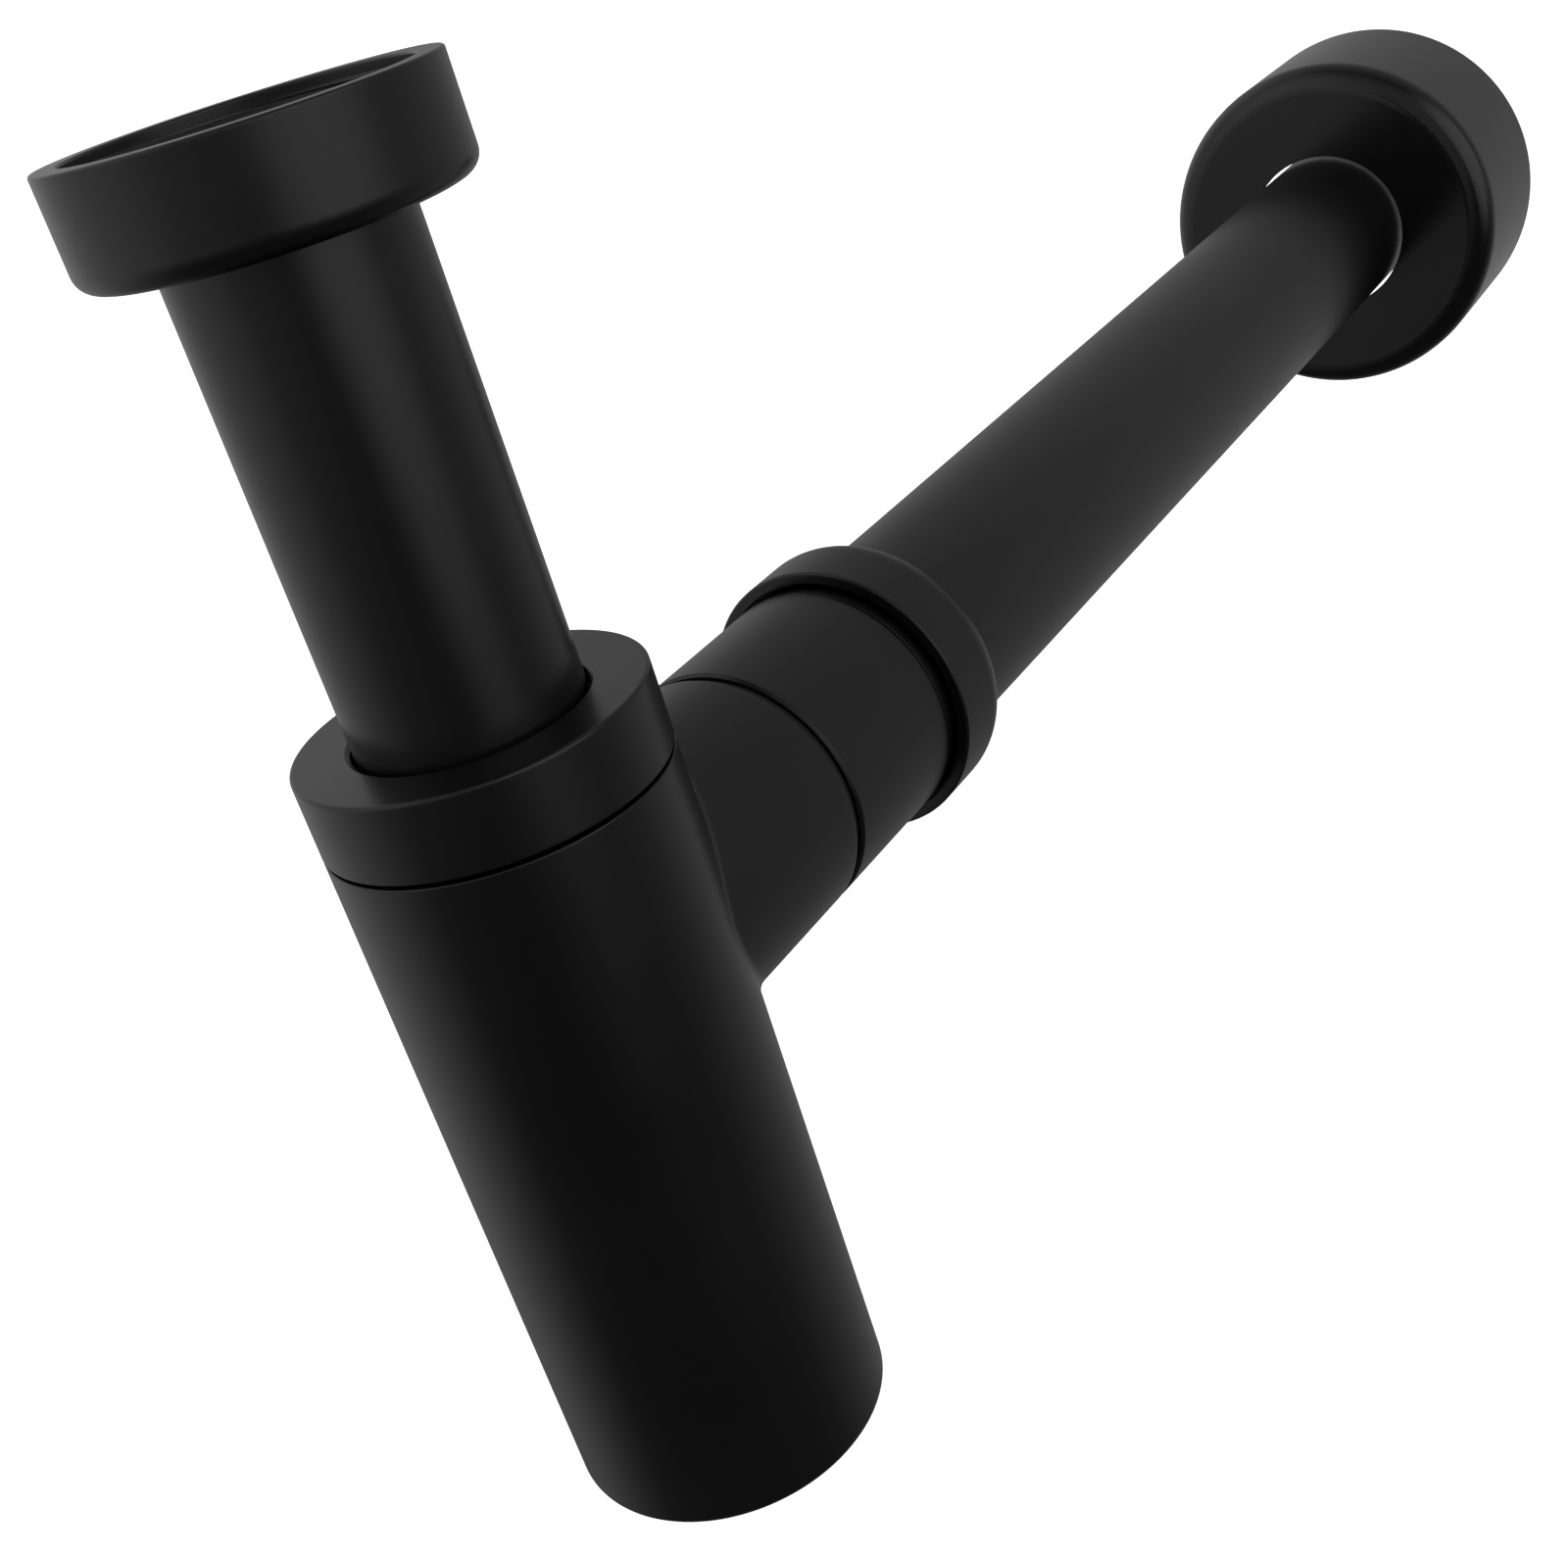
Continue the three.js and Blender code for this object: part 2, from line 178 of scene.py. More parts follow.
def outline(corners, closed=True):
    """Corners are (radius, position) or (radius, position, round). Gives the points between."""
    points = []
    for i, (r, a, *size) in enumerate(corners):
        inner = closed or 0 < i < len(corners) - 1
        if size and inner:
            before, after = corners[i - 1][:2], corners[(i + 1) % len(corners)][:2]
            points += rounded((r, a), before, after, size[0])
        else:
            points.append(Vector((r, a)))
    return held(points, closed)


# ------------------------------------------------------------------------ mesh building


def on_inlet(r, angle, a):
    return Vector((r * math.cos(angle), r * math.sin(angle), a))


def on_outlet(r, angle, a):
    return Vector((r * math.cos(angle), a, OUTLET_Z - r * math.sin(angle)))


def even_angles(count=SEGMENTS):
    return [math.tau * i / count for i in range(count)]


def add_grid(bm, rows, wrap=True):
    """Quads between rows of points, in millimetres."""
    rows = [[bm.verts.new(p * MM) for p in row] for row in rows]
    for low, high in zip(rows, rows[1:]):
        count = len(low) if wrap else len(low) - 1
        for i in range(count):
            j = (i + 1) % len(low)
            bm.faces.new((low[i], low[j], high[j], high[i]))


def add_turned(bm, place, points, closed=True, segments=SEGMENTS):
    """An outline revolved about the inlet or the outlet axis."""
    ring = points + points[:1] if closed else points
    add_grid(bm, [[place(r, angle, a) for angle in even_angles(segments)] for r, a in ring])


def add_disc(bm, rim, centre):
    """A flat disc between a ring of points and its centre."""
    rows = [[centre + (p - centre) * share for p in rim] for share in (1, 0.97, 0.5, 0.02)]
    add_grid(bm, rows)
    hub = bm.verts.new(centre * MM)
    last = [bm.verts.new(p * MM) for p in rows[-1]]
    for i, vert in enumerate(last):
        bm.faces.new((vert, last[(i + 1) % len(last)], hub))


def thread_wave(turn):
    """A V thread with rounded crests and roots, from 0 to 1, once for each turn."""
    sharpness = 0.96
    return 0.5 + math.asin(sharpness * math.sin(math.tau * turn)) / (2 * math.asin(sharpness))


def fade(a, start, end, fade_in, fade_out):
    """0 at both ends of a thread and 1 between, over the lengths given."""
    share = min((a - start) / fade_in, (end - a) / fade_out, 1)
    return share * share * (3 - 2 * share)


def add_thread(
    bm, place, base, depth, start, end,
    pitch=THREAD_PITCH, fade_in=0.9, fade_out=0.9, segments=SEGMENTS,
):
    """A right-hand thread between two rings of radius base. Depth is positive outwards."""
    per_turn = 12
    turns = math.ceil((end - start) / pitch) + 1
    rows = []
    for j in range(turns * per_turn + 1):
        row = []
        for angle in even_angles(segments) + [math.tau]:
            a = start + (j / per_turn - angle / math.tau) * pitch
            a = min(max(a, start), end)
            r = base + depth * fade(a, start, end, fade_in, fade_out) * thread_wave(j / per_turn)
            row.append(place(r, -angle, a))
        rows.append(row)
    add_grid(bm, rows, wrap=False)


def to_mesh(bm, name):
    """Welds the grids of a piece into one closed, smooth mesh."""
    bmesh.ops.remove_doubles(bm, verts=bm.verts, dist=0.0006 * MM)
    bmesh.ops.recalc_face_normals(bm, faces=bm.faces)
    mesh = bpy.data.meshes.new(name)
    bm.to_mesh(mesh)
    bm.free()
    mesh.polygons.foreach_set("use_smooth", [True] * len(mesh.polygons))
    return mesh


def turned_piece(place, corners, thread=None, segments=SEGMENTS):
    """A turned solid. A thread, if there is one, joins the last corner to the first."""
    bm = bmesh.new()
    add_turned(bm, place, outline(corners, closed=thread is None), thread is None, segments)
    if thread:
        add_thread(bm, place, **thread)
    return bm


def ring_piece(place, node, axis, inner, edge=0.25):
    """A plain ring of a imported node's length and outer radius, with rounded edges."""
    start, end = span(node, axis)
    outer = radius(node)
    corners = [(outer, start, edge), (outer, end, edge), (inner, end, edge), (inner, start, edge)]
    return turned_piece(place, corners)


# ------------------------------------------------------------------- inlet nut and tube


def inlet_nut():
    bottom, rim = span("inlet_nut", Z)
    outer = radius("inlet_nut")
    seat = bottom + INLET_NUT_SHOULDER_T
    mouth = rim - INLET_NUT_MOUTH_DEPTH
    hole = INLET_TUBE_R + 0.4
    root = INLET_THREAD_ROOT_R
    corners = [
        (root, mouth),
        (INLET_NUT_MOUTH_R, mouth, 0.1),
        (INLET_NUT_MOUTH_R, rim, 0.4),
        (outer, rim, 0.4),
        (outer, bottom, INLET_NUT_ROUND),
        (hole, bottom, 0.3),
        (hole, seat, MICRO),
        (root, seat),
    ]
    thread = {
        "base": root,
        "depth": INLET_THREAD_CREST_R - root,
        "start": seat,
        "end": mouth,
        "pitch": INLET_THREAD_PITCH,
        "fade_in": 1.8,
        "fade_out": 0.7,
    }
    return turned_piece(on_inlet, corners, thread)


def inlet_tube():
    end, collar_top = span("inlet_tube", Z)
    collar = radius("inlet_tube")
    collar_bottom = collar_top - COLLAR_T
    return turned_piece(on_inlet, [
        (INLET_TUBE_R, end, 0.3),
        (INLET_TUBE_R, collar_bottom, 0.4),
        (collar, collar_bottom, 0.3),
        (collar, collar_top, 0.3),
        (INLET_TUBE_BORE_R, collar_top, 0.5),
        (INLET_TUBE_BORE_R, end, 0.3),
    ])


# ------------------------------------------------------------------------- cap and neck


def cap_ring():
    bottom, top = span("cap_ring", Z)
    outer = radius("cap_ring")
    ceiling = top - CAP_TOP_T
    corners = [
        (CAP_THREAD_R, bottom),
        (outer, bottom, 0.2),
        (outer, top, 0.5),
        (CAP_HOLE_R + 0.6, top, 0.1),
        (CAP_HOLE_R, top - 0.4, 0.1),
        (CAP_HOLE_R, ceiling, MICRO),
        (CAP_THREAD_R, ceiling),
    ]
    thread = {"base": CAP_THREAD_R, "depth": THREAD_DEPTH, "start": bottom, "end": ceiling}
    return turned_piece(on_inlet, corners, thread)


def cap_seal():
    tip, top = span("cap_seal", Z)
    head = radius("cap_seal")
    step = top - CAP_SEAL_HEAD_T
    inner = INLET_TUBE_R + 0.15
    nose_top = NECK_SEAT_R - 0.3
    nose_tip = nose_top - (step - tip) * (NECK_SEAT_R - NECK_BORE_R) / NECK_SEAT_DEPTH
    return turned_piece(on_inlet, [
        (inner, tip, 0.1),
        (nose_tip, tip, 0.2),
        (nose_top, step, MICRO),
        (head, step, 0.3),
        (head, top, 0.3),
        (inner, top, 0.3),
    ])


def neck_ring():
    bottom, top = span("neck_ring", Z)
    socket_r = radius("neck_ring")
    shoulder = bottom + NECK_SOCKET_DEPTH
    corners = [
        (NECK_THREAD_R, top),
        (NECK_SEAT_R, top, MICRO),
        (NECK_BORE_R, top - NECK_SEAT_DEPTH, 0.3),
        (NECK_BORE_R, bottom, 0.3),
        (socket_r, bottom, 0.3),
        (socket_r, shoulder, 0.1),
        (NECK_THREAD_R, shoulder),
    ]
    thread = {"base": NECK_THREAD_R, "depth": -THREAD_DEPTH, "start": shoulder, "end": top}
    return turned_piece(on_inlet, corners, thread)


# -------------------------------------------------------------------- bottle and branch

BRANCH_COLUMNS = 160  # round the branch
BACK_COLUMNS = 104  # round the part of the bottle that the branch doesn't reach


def around_bottle(wall, hole):
    """Angles round the bottle, from +Y towards +X, and the hole's half height at each.

    The hole is a cylinder of radius hole along +Y, met at the radius wall."""
    half = BRANCH_COLUMNS // 2
    front = [math.pi * i / half for i in range(half + 1)]
    angles = [math.asin(hole * math.cos(phi) / wall) for phi in front]
    heights = [hole * math.sin(phi) for phi in front]
    rest = math.tau - 2 * angles[0]
    angles += [angles[-1] - rest * i / BACK_COLUMNS for i in range(1, BACK_COLUMNS)]
    heights += [0.0] * (BACK_COLUMNS - 1)
    return angles, heights


def bottle_ring(angles, r, heights):
    return [
        Vector((r * math.sin(angle), r * math.cos(angle), z))
        for angle, z in zip(angles, heights)
    ]


def add_bottle_wall(bm, angles, heights, r, low, high):
    """A cylinder wall with the branch's hole in it, between two levels."""
    level = len(angles)
    for end, side in ((low, -1), (high, 1)):
        edge = [OUTLET_Z + side * z for z in heights]
        near = end - side * HOLD
        rows = [bottle_ring(angles, r, [end] * level)]
        for share in (0, 0.25, 0.5, 0.75, 1):
            rows.append(bottle_ring(angles, r, [near + (z - near) * share for z in edge]))
        add_grid(bm, rows)


def fillet_rows(bottle_r, branch_r):
    """Rows of points from the bottle's wall to the branch, round a rolling ball."""
    steps = 8
    ball = BRANCH_FILLET
    rows = [[] for _ in range(steps + 1)]
    for i in range(BRANCH_COLUMNS):
        phi = math.tau * i / BRANCH_COLUMNS
        x = (branch_r + ball) * math.cos(phi)
        z = (branch_r + ball) * math.sin(phi)
        centre = Vector((x, math.sqrt((bottle_r + ball) ** 2 - x * x), OUTLET_Z + z))
        to_bottle = -Vector((centre.x, centre.y, 0)).normalized()
        to_branch = -Vector((math.cos(phi), 0, math.sin(phi)))
        for j, row in enumerate(rows):
            row.append(centre + ball * to_bottle.slerp(to_branch, j / steps))
    return rows


def branch_end_outline(branch_r, end):
    """From the branch's outside, over its end, to the floor of its socket."""
    floor = end - BRANCH_SOCKET_DEPTH
    outside = outline([
        (branch_r, end - 1),
        (branch_r, end, 0.3),
        (BRANCH_SOCKET_R, end),
    ], closed=False)
    inside = outline([
        (BRANCH_SOCKET_R, floor),
        (BRANCH_BORE_R, floor, 0.3),
        (BRANCH_BORE_R, floor - 1),
    ], closed=False)
    return outside, inside


def bottle_and_branch():
    bottle_r, branch_r = radius("bottle_shell"), radius("branch_stub")
    bottom, top = span("bottle_shell", Z)
    end = span("branch_stub", Y)[1]
    floor = bottom + BOTTLE_FLOOR_T
    bm = bmesh.new()

    # the bottle's outside, from the bottom's rim to the mouth
    ball = BRANCH_FILLET
    angles, heights = around_bottle(bottle_r + ball, branch_r + ball)
    add_bottle_wall(bm, angles, heights, bottle_r, bottom + BOTTLE_ROUND, top - 0.2)
    level = len(angles)
    base = rounded((bottle_r, bottom), (0, bottom), (bottle_r, top), BOTTLE_ROUND)
    add_grid(bm, [bottle_ring(angles, r, [a] * level) for r, a in base])
    add_disc(bm, bottle_ring(angles, base[0].x, [bottom] * level), Vector((0, 0, bottom)))

    # its inside, with the hole into the branch
    inner_angles, inner_heights = around_bottle(BOTTLE_BORE_R, BRANCH_BORE_R)
    add_bottle_wall(bm, inner_angles, inner_heights, BOTTLE_BORE_R, floor + BOTTLE_ROUND, top)
    cup = rounded((BOTTLE_BORE_R, floor), (0, floor), (BOTTLE_BORE_R, top), BOTTLE_ROUND)
    add_grid(bm, [bottle_ring(inner_angles, r, [a] * level) for r, a in cup])
    add_disc(bm, bottle_ring(inner_angles, cup[0].x, [floor] * level), Vector((0, 0, floor)))

    # the mouth
    lip = rounded((bottle_r, top), (bottle_r, bottom), (BOTTLE_BORE_R, top), 0.2)
    rows = [bottle_ring(angles, r, [a] * level) for r, a in lip]
    rows.append(bottle_ring(inner_angles, BOTTLE_BORE_R, [top] * level))
    add_grid(bm, rows)

    # the fillet and the branch
    rows = fillet_rows(bottle_r, branch_r)
    outside, inside = branch_end_outline(branch_r, end)
    phis = even_angles(BRANCH_COLUMNS)
    root = rows[-1]
    rings = [[on_outlet(r, -phi, a) for phi in phis] for r, a in outside]
    for share in (0.05, 0.35, 0.65, 0.95):
        rows.append([p.lerp(q, share) for p, q in zip(root, rings[0])])
    add_grid(bm, rows + rings)
    rings = [[on_outlet(r, -phi, a) for phi in phis] for r, a in inside]
    rings.append([
        Vector((
            BRANCH_BORE_R * math.cos(phi),
            math.sqrt(BOTTLE_BORE_R ** 2 - (BRANCH_BORE_R * math.cos(phi)) ** 2),
            OUTLET_Z + BRANCH_BORE_R * math.sin(phi),
        ))
        for phi in phis
    ])
    add_grid(bm, rings)
    add_thread(
        bm, on_outlet, base=BRANCH_SOCKET_R, depth=THREAD_DEPTH,
        start=end - BRANCH_SOCKET_DEPTH, end=end, segments=BRANCH_COLUMNS,
    )
    return bm


# ----------------------------------------------------------------- sleeve, nut and tube


def outlet_sleeve():
    start, end = span("outlet_sleeve", Y)
    barrel = radius("outlet_sleeve")
    shoulder = start + SPIGOT_LENGTH
    bevel = SLEEVE_BEVEL
    lip_start, lip_end = SLEEVE_LIP
    corners = [
        (SLEEVE_THREAD_R, SLEEVE_THREAD_START),
        (SLEEVE_THREAD_R, lip_end, 0.1),
        (SLEEVE_LIP_R - 0.2, lip_end, 0.05),
        (SLEEVE_LIP_R, lip_end - 0.2, 0.05),
        (SLEEVE_LIP_R, lip_start, 0.1),
        (SLEEVE_GROOVE_R, lip_start, 0.1),
        (SLEEVE_GROOVE_R, SLEEVE_SHOULDER, 0.1),
        (barrel - bevel, SLEEVE_SHOULDER, 0.1),
        (barrel, SLEEVE_SHOULDER - bevel, 0.1),
        (barrel, shoulder + bevel, 0.1),
        (barrel - bevel, shoulder, 0.1),
        (SPIGOT_R, shoulder, MICRO),
        (SPIGOT_R, start, 0.4),
        (BRANCH_BORE_R, start, 0.3),
        (BRANCH_BORE_R, SLEEVE_STOP, MICRO),
        (SLEEVE_BORE_R, SLEEVE_STOP, MICRO),
        (SLEEVE_BORE_R, end - SLEEVE_SEAT_DEPTH, 0.3),
        (SLEEVE_SEAT_R, end, MICRO),
        (SLEEVE_THREAD_R, end),
    ]
    thread = {"base": SLEEVE_THREAD_R, "depth": -THREAD_DEPTH, "start": SLEEVE_THREAD_START, "end": end}
    return turned_piece(on_outlet, corners, thread)


def outlet_seal():
    tip, top = span("outlet_seal", Y)
    head = radius("outlet_seal")
    step = top - OUTLET_SEAL_HEAD_T
    inner = span("outlet_tube", X)[1] + 0.15
    nose_top = SLEEVE_SEAT_R - 0.2
    nose_tip = nose_top - (step - tip) * (SLEEVE_SEAT_R - SLEEVE_BORE_R) / SLEEVE_SEAT_DEPTH
    return turned_piece(on_outlet, [
        (inner, tip, 0.05),
        (nose_tip, tip, 0.05),
        (nose_top, step, 0.1),
        (head, step, 0.25),
        (head, top, 0.25),
        (inner, top, 0.25),
    ])


def dome(outer, hole, far, size):
    """Corners of an end that is rounded from its outer radius down to its hole."""
    steps = 14
    centre = outer - size
    end = math.acos((hole - centre) / size)
    base = far - size * math.sin(end)
    turns = [end * i / steps for i in range(steps)]
    arc = [(centre + size * math.cos(t), base + size * math.sin(t)) for t in turns]
    return arc + [(hole, far, 0.2)]


def outlet_nut():
    near, far = span("outlet_nut", Y)
    outer = radius("outlet_nut")
    seat = far - OUTLET_NUT_WALL
    mouth = near + OUTLET_NUT_MOUTH_DEPTH
    corners = [
        (OUTLET_NUT_THREAD_R, mouth),
        (OUTLET_NUT_MOUTH_R, mouth, MICRO),
        (OUTLET_NUT_MOUTH_R, near, 0.2),
        (outer - 0.3, near, 0.08),
        (outer, near + 0.3, 0.08),
        *dome(outer, OUTLET_NUT_HOLE_R, far, OUTLET_NUT_DOME),
        (OUTLET_NUT_HOLE_R, seat, MICRO),
        (OUTLET_NUT_THREAD_R, seat),
    ]
    thread = {"base": OUTLET_NUT_THREAD_R, "depth": THREAD_DEPTH, "start": mouth, "end": seat}
    return turned_piece(on_outlet, corners, thread)


def wall_flange():
    front, back = span("wall_flange", Y)
    outer = radius("wall_flange")
    inner = outer - FLANGE_WALL
    inner_front = front + FLANGE_WALL
    return turned_piece(on_outlet, [
        (FLANGE_HOLE_R, front, 0.08),
        (outer, front, FLANGE_ROUND),
        (outer, back, 0.4),
        (inner, back, 0.4),
        (inner, inner_front, FLANGE_ROUND - FLANGE_WALL),
        (FLANGE_HOLE_R, inner_front, 0.08),
    ], segments=256)


# ---------------------------------------------------------------------------- materials


def new_material(name):
    material = bpy.data.materials.new(name)
    material.use_nodes = True
    nodes = material.node_tree.nodes
    return material, nodes, material.node_tree.links, nodes["Principled BSDF"]


def noise(nodes, links, scale, detail=2.0):
    """Noise in the piece's own coordinates. Scale is in waves per millimetre."""
    place = nodes.new("ShaderNodeTexCoord")
    texture = nodes.new("ShaderNodeTexNoise")
    texture.inputs["Scale"].default_value = scale / MM
    texture.inputs["Detail"].default_value = detail
    links.new(place.outputs["Object"], texture.inputs["Vector"])
    return texture.outputs["Fac"]


def ranged(nodes, links, value, low, high):
    """A noise value spread between two numbers."""
    spread = nodes.new("ShaderNodeMapRange")
    spread.inputs["From Min"].default_value = 0.3
    spread.inputs["From Max"].default_value = 0.7
    spread.inputs["To Min"].default_value = low
    spread.inputs["To Max"].default_value = high
    links.new(value, spread.inputs["Value"])
    return spread.outputs["Result"]


def between(nodes, links, value, low, high):
    """A colour between two others, by a noise value."""
    ramp = nodes.new("ShaderNodeValToRGB")
    ramp.color_ramp.elements[0].position = 0.35
    ramp.color_ramp.elements[1].position = 0.65
    ramp.color_ramp.elements[0].color = (*low, 1)
    ramp.color_ramp.elements[1].color = (*high, 1)
    links.new(value, ramp.inputs["Fac"])
    return ramp.outputs["Color"]


def bumps(nodes, links, layers):
    """Bump nodes in a chain. Layers are (height value, depth in millimetres)."""
    normal = None
    for value, depth in layers:
        bump = nodes.new("ShaderNodeBump")
        bump.inputs["Strength"].default_value = 1.0
        bump.inputs["Distance"].default_value = depth * MM
        links.new(value, bump.inputs["Height"])
        if normal:
            links.new(normal, bump.inputs["Normal"])
        normal = bump.outputs["Normal"]
    return normal


def coated_metal(name, dark, light, roughness, peel, grain):
    """Black coating on brass: orange peel, a fine grain, and patches of more or less gloss."""
    material, nodes, links, shader = new_material(name)
    patches = noise(nodes, links, 0.03, 4.0)
    speckle = noise(nodes, links, 2.2, 3.0)
    links.new(between(nodes, links, patches, dark, light), shader.inputs["Base Color"])
    links.new(ranged(nodes, links, patches, *roughness), shader.inputs["Roughness"])
    wave = noise(nodes, links, 0.45)
    links.new(bumps(nodes, links, [(wave, peel), (speckle, grain)]), shader.inputs["Normal"])
    return material


def satin_black():
    return coated_metal(
        "satin_coating", (0.0035, 0.0035, 0.0038), (0.0050, 0.0050, 0.0053), (0.28, 0.33), 0.004, 0.0012
    )


def gloss_black():
    return coated_metal(
        "gloss_coating", (0.0035, 0.0035, 0.0038), (0.0048, 0.0048, 0.0050), (0.17, 0.21), 0.004, 0.0005
    )


def rubber():
    material, nodes, links, shader = new_material("black_rubber")
    bloom = noise(nodes, links, 0.12, 4.0)
    texture = noise(nodes, links, 1.5, 3.0)
    links.new(between(nodes, links, bloom, (0.004,) * 3, (0.009,) * 3), shader.inputs["Base Color"])
    links.new(ranged(nodes, links, bloom, 0.66, 0.82), shader.inputs["Roughness"])
    links.new(bumps(nodes, links, [(texture, 0.02)]), shader.inputs["Normal"])
    return material


def nylon():
    material, nodes, links, shader = new_material("grey_nylon")
    flow = noise(nodes, links, 0.08, 2.0)
    texture = noise(nodes, links, 1.0, 2.0)
    links.new(between(nodes, links, flow, (0.022,) * 3, (0.032,) * 3), shader.inputs["Base Color"])
    links.new(ranged(nodes, links, texture, 0.44, 0.56), shader.inputs["Roughness"])
    links.new(bumps(nodes, links, [(texture, 0.01)]), shader.inputs["Normal"])
    return material


# ----------------------------------------------------------------------------- assembly

RECORD = frame["record"]
SLOTS = {part["node"]: part["material_slot"] for part in RECORD["subparts"]}
BODIES = {node: body for body, nodes in RECORD["behaviour"]["bodies"].items() for node in nodes}
FINISHES = {
    "satin_black": satin_black(),
    "gloss_black": gloss_black(),
    "rubber": rubber(),
    "nylon": nylon(),
}


def add_piece(name, bm, *nodes):
    """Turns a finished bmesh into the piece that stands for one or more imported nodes."""
    mesh = to_mesh(bm, name)
    piece = bpy.data.objects.new(name, mesh)
    bpy.context.scene.collection.objects.link(piece)
    slot = SLOTS[nodes[0]]
    mesh.materials.append(FINISHES[slot])
    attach(piece, BODIES[nodes[0]])
    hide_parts(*nodes)
    return piece


def inlet_pieces():
    washer_bore = INLET_TUBE_BORE_R + 0.1
    ring_bore = INLET_TUBE_R + 0.25
    add_piece("union_nut", inlet_nut(), "inlet_nut")
    add_piece("sealing_washer", ring_piece(on_inlet, "inlet_washer", Z, washer_bore), "inlet_washer")
    add_piece("nut_slip_ring", ring_piece(on_inlet, "inlet_slip_ring", Z, ring_bore), "inlet_slip_ring")
    add_piece("dip_tube", inlet_tube(), "inlet_tube")
    add_piece("bottle_cap", cap_ring(), "cap_ring")
    slip_ring = ring_piece(on_inlet, "cap_friction_ring", Z, ring_bore)
    add_piece("cap_slip_ring", slip_ring, "cap_friction_ring")
    add_piece("tube_seal_ring", cap_seal(), "cap_seal")
    add_piece("threaded_neck", neck_ring(), "neck_ring")


def outlet_pieces():
    gasket_bore = SPIGOT_R + 0.35
    ring_bore = span("outlet_tube", X)[1] + 0.25
    add_piece("bottle_with_branch", bottle_and_branch(), "bottle_shell", "branch_stub")
    add_piece("groove_gasket", ring_piece(on_outlet, "branch_gasket", Y, gasket_bore), "branch_gasket")
    add_piece("sleeve", outlet_sleeve(), "outlet_sleeve")
    add_piece("sleeve_seal", outlet_seal(), "outlet_seal")
    slip_ring = ring_piece(on_outlet, "outlet_friction_ring", Y, ring_bore)
    add_piece("sleeve_slip_ring", slip_ring, "outlet_friction_ring")
    add_piece("sleeve_nut", outlet_nut(), "outlet_nut")
    add_piece("wall_tube", ring_piece(on_outlet, "outlet_tube", Y, OUTLET_TUBE_BORE_R), "outlet_tube")
    add_piece("flange_cup", wall_flange(), "wall_flange")


inlet_pieces()
outlet_pieces()

# ------------------------------------------------------------------- camera and lighting

CAMERA_PLACE = (183.9, -166.5, 17.7)
CAMERA_TURN = 39.58  # degrees from +Y towards -X
CAMERA_TILT = -25.37  # degrees above the horizon
CAMERA_ROLL = 17.38  # degrees that its right side is turned down


def direction(turn, tilt):
    """A unit vector, turned from +Y towards -X and tilted above the horizon, in degrees."""
    turn, tilt = math.radians(turn), math.radians(tilt)
    flat = math.cos(tilt)
    return Vector((-math.sin(turn) * flat, math.cos(turn) * flat, math.sin(tilt)))


def add_camera():
    camera = bpy.data.cameras.new("camera")
    camera.lens = 45.67
    camera.sensor_width = 36
    camera.shift_x = 0.0023
    camera.shift_y = 0.0125
    camera.clip_start = 0.01
    ahead = direction(CAMERA_TURN, CAMERA_TILT)
    level = ahead.cross(Vector((0, 0, 1))).normalized()
    upright = level.cross(ahead)
    roll = math.radians(CAMERA_ROLL)
    right = level * math.cos(roll) - upright * math.sin(roll)
    up = upright * math.cos(roll) + level * math.sin(roll)
    turned = Matrix((right, up, -ahead)).transposed()
    holder = bpy.data.objects.new("camera", camera)
    holder.matrix_world = Matrix.Translation(Vector(CAMERA_PLACE) * MM) @ turned.to_4x4()
    bpy.context.scene.collection.objects.link(holder)
    bpy.context.scene.camera = holder


def add_floor():
    """A pale floor just under the bottle, as bright as the white around it."""
    material = bpy.data.materials.new("pale_floor")
    material.use_nodes = True
    nodes, links = material.node_tree.nodes, material.node_tree.links
    shader = nodes["Principled BSDF"]
    shader.inputs["Roughness"].default_value = 0.9
    shader.inputs["Emission Color"].default_value = (1, 1, 1, 1)
    shader.inputs["Emission Strength"].default_value = 1.0
    mottle = noise(nodes, links, 0.004)
    colour = between(nodes, links, mottle, (0.80,) * 3, (0.84,) * 3)
    links.new(colour, shader.inputs["Base Color"])
    bm = bmesh.new()
    bmesh.ops.create_grid(bm, x_segments=8, y_segments=8, size=6)
    mesh = bpy.data.meshes.new("floor")
    bm.to_mesh(mesh)
    bm.free()
    mesh.materials.append(material)
    floor = bpy.data.objects.new("floor", mesh)
    floor.location.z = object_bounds()[0].z - 0.2 * MM
    floor.visible_glossy = False
    floor.visible_diffuse = False
    bpy.context.scene.collection.objects.link(floor)


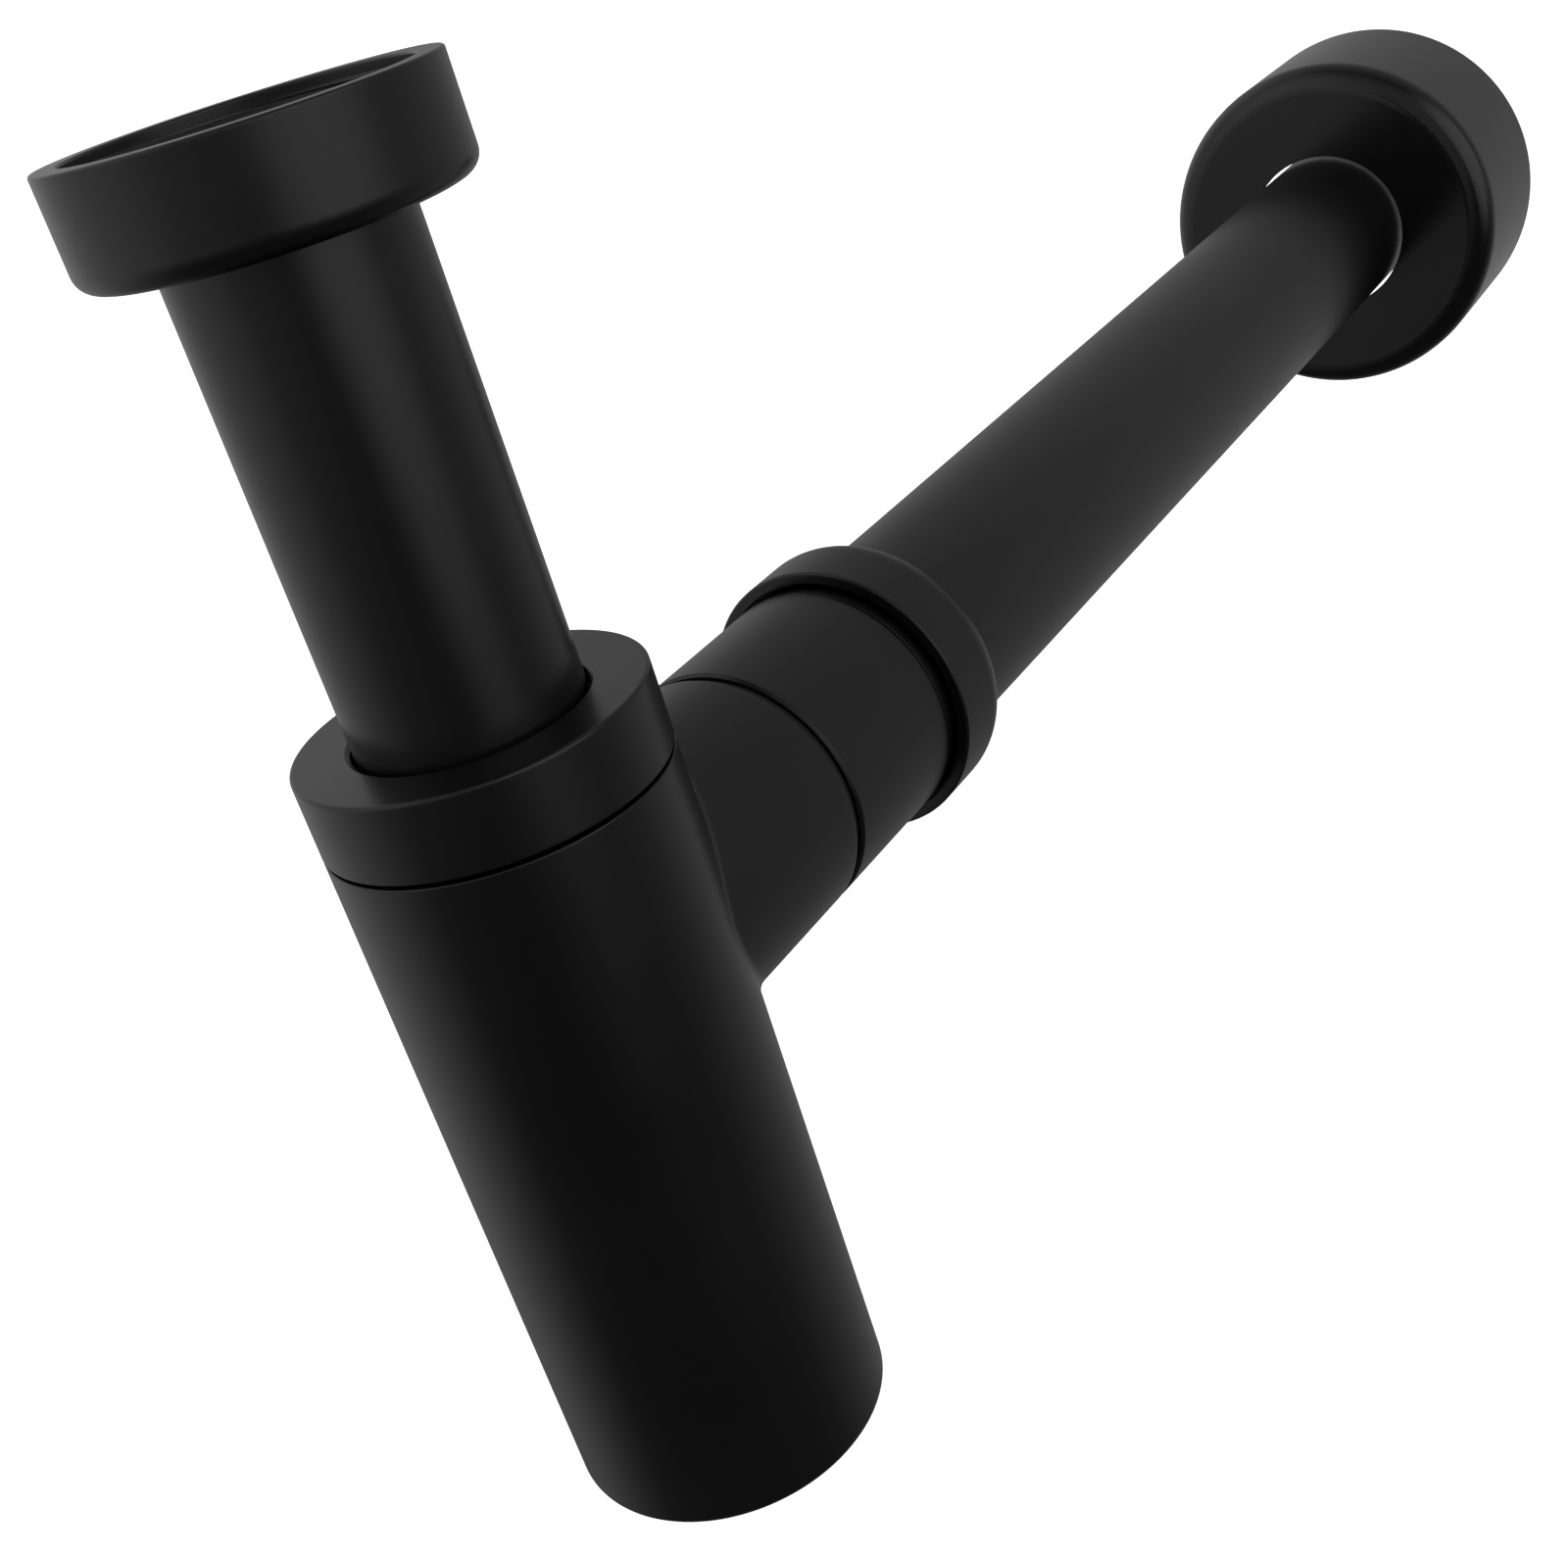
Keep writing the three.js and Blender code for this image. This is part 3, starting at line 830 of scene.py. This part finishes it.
# Four soft lights: turn, tilt, inner and outer radius in degrees, radiance
BACK_LIGHT = (0, 20, 35, 100, 0.25)  # wide and dim, from beyond the object
RIGHT_LIGHT = (-100, 15, 10, 45, 0.9)
LEFT_LIGHT = (110, 15, 20, 75, 0.5)
FRONT_LIGHT = (180, 30, 20, 60, 0.3)  # from the camera's side
SOFT_LIGHTS = (BACK_LIGHT, RIGHT_LIGHT, LEFT_LIGHT, FRONT_LIGHT)
AMBIENT = 0.06


def add_world():
    """White for the camera; soft areas of light on a dim surround for everything else."""
    world = bpy.data.worlds.new("studio")
    bpy.context.scene.world = world
    world.use_nodes = True
    nodes, links = world.node_tree.nodes, world.node_tree.links
    nodes.clear()
    place = nodes.new("ShaderNodeTexCoord")
    total = None
    for turn, tilt, inner, outer, radiance in SOFT_LIGHTS:
        facing = nodes.new("ShaderNodeVectorMath")
        facing.operation = "DOT_PRODUCT"
        facing.inputs[1].default_value = direction(turn, tilt)
        links.new(place.outputs["Generated"], facing.inputs[0])
        area = nodes.new("ShaderNodeMapRange")
        area.interpolation_type = "SMOOTHSTEP"
        area.inputs["From Min"].default_value = math.cos(math.radians(outer))
        area.inputs["From Max"].default_value = math.cos(math.radians(inner))
        area.inputs["To Max"].default_value = radiance
        links.new(facing.outputs["Value"], area.inputs["Value"])
        add = nodes.new("ShaderNodeMath")
        add.operation = "ADD"
        add.inputs[1].default_value = AMBIENT
        links.new(area.outputs["Result"], add.inputs[0])
        if total:
            links.new(total, add.inputs[1])
        total = add.outputs["Value"]
    soft = nodes.new("ShaderNodeBackground")
    soft.inputs["Color"].default_value = (1, 1, 1, 1)
    links.new(total, soft.inputs["Strength"])
    white = nodes.new("ShaderNodeBackground")
    white.inputs["Color"].default_value = (1, 1, 1, 1)
    seen = nodes.new("ShaderNodeLightPath")
    either = nodes.new("ShaderNodeMixShader")
    out = nodes.new("ShaderNodeOutputWorld")
    links.new(seen.outputs["Is Camera Ray"], either.inputs["Fac"])
    links.new(soft.outputs["Background"], either.inputs[1])
    links.new(white.outputs["Background"], either.inputs[2])
    links.new(either.outputs["Shader"], out.inputs["Surface"])


add_camera()
add_floor()
add_world()
bpy.context.scene.view_settings.view_transform = "Standard"
